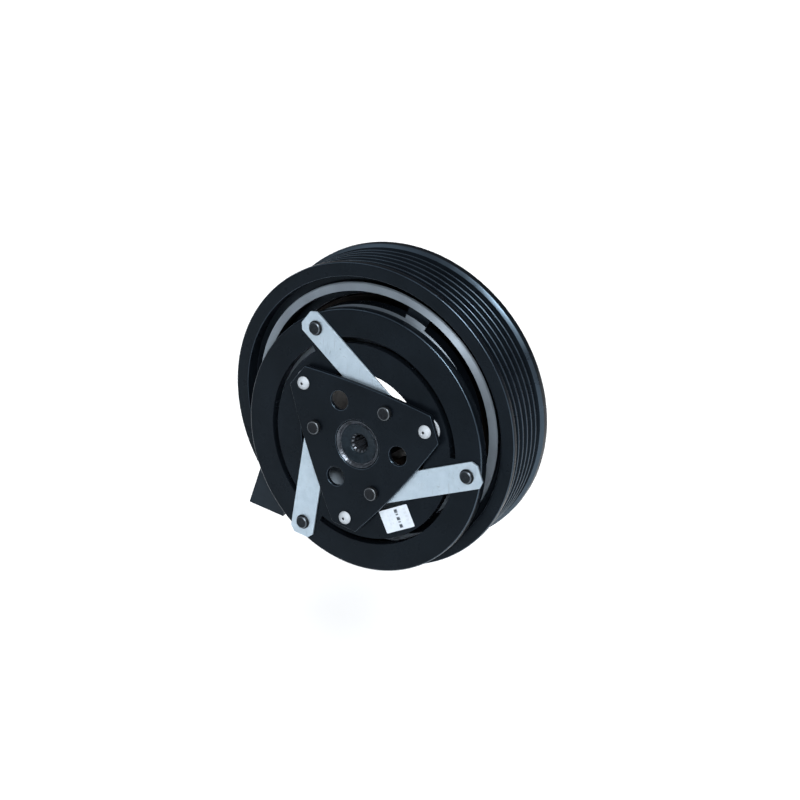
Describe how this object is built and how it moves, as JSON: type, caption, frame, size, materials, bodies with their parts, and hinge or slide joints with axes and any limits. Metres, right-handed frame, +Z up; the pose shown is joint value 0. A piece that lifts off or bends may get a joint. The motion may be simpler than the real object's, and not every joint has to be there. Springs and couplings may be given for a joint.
{
  "type": "electromagnetic compressor clutch",
  "caption": "Belt-driven electromagnetic clutch: ribbed pulley on a ball bearing, field coil with plug socket, and a sprung armature hub tipped loose in the bearing bore.",
  "frame": {"origin": "on the pulley's axis, in the plane of its front lip", "axes": "+Y along the pulley's axis towards the compressor, +Z up, +X to the right seen from the front"},
  "size_m": [0.1424, 0.0549, 0.1347],
  "materials": {
    "black_coat": "satin",
    "phosphated_steel": "satin",
    "bearing_steel": "fine ground",
    "zinc": "satin",
    "rivet_steel": "satin",
    "copper_wire": "enamelled",
    "resin": "matt",
    "black_plastic": "matt",
    "pale_rubber": "matt",
    "seal_rubber": "matt",
    "contact_brass": "satin",
    "paper": "matt"
  },
  "bodies": {
    "compressor_side": {"coil_housing": "black_coat", "coil_bobbin": "black_plastic", "coil_winding": "copper_wire", "potting_resin": "resin", "coil_mounting_plate": "phosphated_steel", "connector_housing": "black_plastic", "connector_terminal_1": "contact_brass", "connector_terminal_2": "contact_brass", "bearing_inner_ring": "bearing_steel"},
    "pulley": {"pulley_rotor": "black_coat", "bearing_outer_ring": "bearing_steel", "bearing_front_seal": "seal_rubber", "bearing_rear_seal": "seal_rubber", "bearing_snap_ring": "rivet_steel"},
    "ball_set": {"ball_cage": "resin", "bearing_ball_1": "bearing_steel", "bearing_ball_2": "bearing_steel", "bearing_ball_3": "bearing_steel", "bearing_ball_4": "bearing_steel", "bearing_ball_5": "bearing_steel", "bearing_ball_6": "bearing_steel", "bearing_ball_7": "bearing_steel", "bearing_ball_8": "bearing_steel", "bearing_ball_9": "bearing_steel"},
    "shim_carrier": {"air_gap_shim_1": "bearing_steel"},
    "tilt_carrier": {"air_gap_shim_2": "bearing_steel"},
    "hub": {"hub_boss": "phosphated_steel", "hub_plate": "black_coat", "inner_rivet_1": "rivet_steel", "inner_rivet_2": "rivet_steel", "inner_rivet_3": "rivet_steel", "rubber_stopper_1": "pale_rubber", "rubber_stopper_2": "pale_rubber", "rubber_stopper_3": "pale_rubber", "leaf_spring_1": "zinc", "leaf_spring_2": "zinc", "leaf_spring_3": "zinc"},
    "armature": {"armature_plate": "black_coat", "outer_rivet_1": "rivet_steel", "outer_rivet_2": "rivet_steel", "outer_rivet_3": "rivet_steel", "armature_label": "paper"}
  },
  "joints": [
    {"name": "pulley_spin", "type": "hinge", "parent": "compressor_side", "child": "pulley", "pos_m": [0, 0.015, 0], "axis": [0, 1, 0], "continuous": true},
    {"name": "ball_spin", "type": "hinge", "parent": "compressor_side", "child": "ball_set", "pos_m": [0, 0.015, 0], "axis": [0, 1, 0], "continuous": true},
    {"name": "hub_seating", "type": "slide", "parent": "compressor_side", "child": "shim_carrier", "axis": [-0.0164, 0.4329, 0.9013], "range_m": [0, 0.01053]},
    {"name": "hub_tilt", "type": "hinge", "parent": "shim_carrier", "child": "tilt_carrier", "pos_m": [0.00017, 0.01244, -0.00949], "axis": [0.9697, -0.0096, 0.2439], "range_deg": [0, 4.68]},
    {"name": "hub_spin", "type": "hinge", "parent": "tilt_carrier", "child": "hub", "pos_m": [-0.00019, -0.0058, -0.00805], "axis": [0.0198, 0.9967, -0.079], "continuous": true},
    {"name": "armature_pull_in", "type": "slide", "parent": "hub", "child": "armature", "axis": [0.0198, 0.9967, -0.079], "range_m": [0, 0.0005], "stiffness_N_per_m": 20000, "deforming": ["leaf_spring_1", "leaf_spring_2", "leaf_spring_3"]}
  ],
  "couplings": [
    {"joint": "ball_spin", "follows": "pulley_spin", "ratio": 0.5602},
    {"joint": "hub_tilt", "follows": "hub_seating", "rad_per_m": 7.7385}
  ]
}
